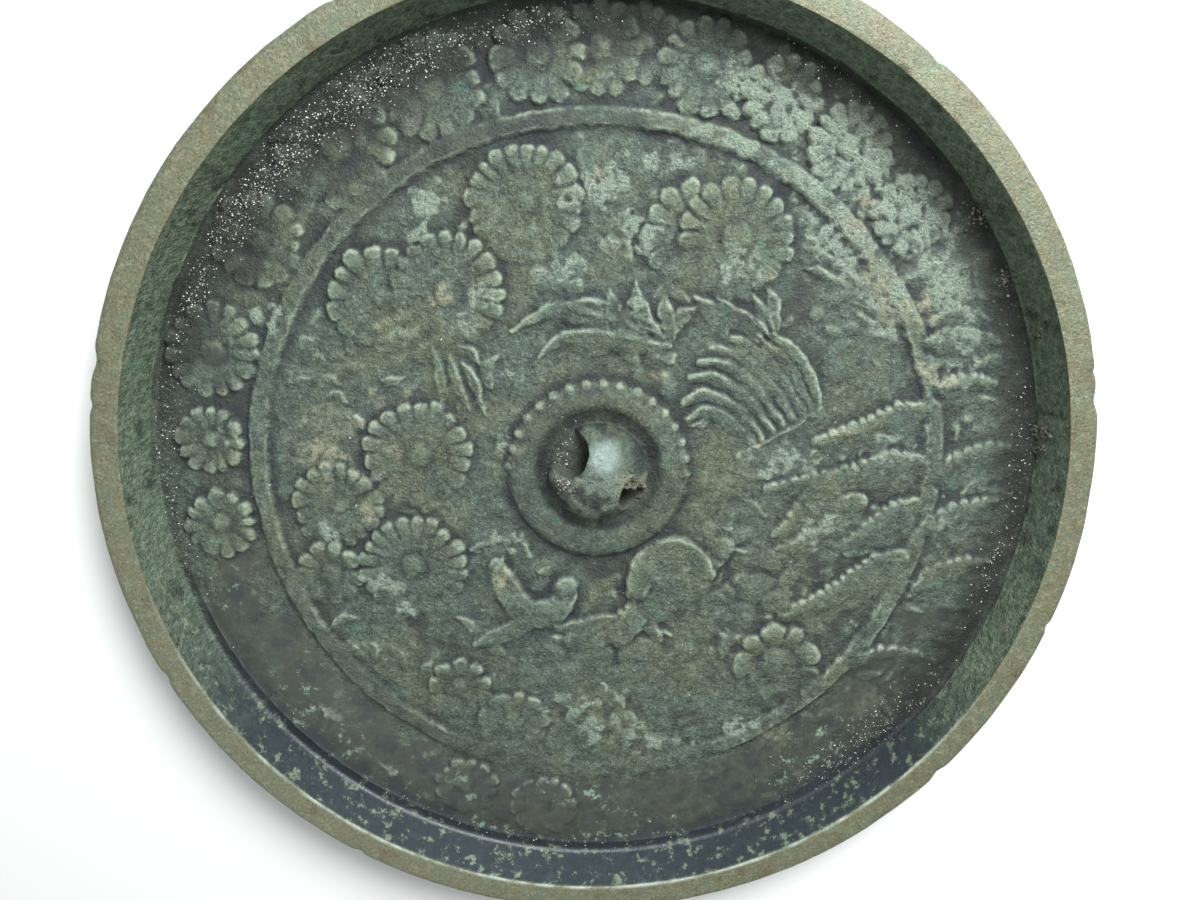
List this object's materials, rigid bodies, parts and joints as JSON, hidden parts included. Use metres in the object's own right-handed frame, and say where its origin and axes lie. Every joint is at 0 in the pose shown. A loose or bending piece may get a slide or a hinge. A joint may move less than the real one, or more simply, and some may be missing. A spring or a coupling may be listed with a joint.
{
  "type": "ancient bronze mirror",
  "caption": "Round cast bronze mirror with a raised rim, an inner ring, a pierced knob and low relief of flowers, ferns and small birds; lies face down.",
  "frame": {"origin": "middle of the flat reflecting face, which the mirror lies on", "axes": "+Z out of the decorated back, through the knob; +X to the right and +Y to the top of the picture"},
  "size_m": [0.112, 0.112, 0.0068],
  "materials": {
    "patinated_bronze": null
  },
  "bodies": {
    "root": {"mirror": "patinated_bronze"}
  },
  "joints": []
}
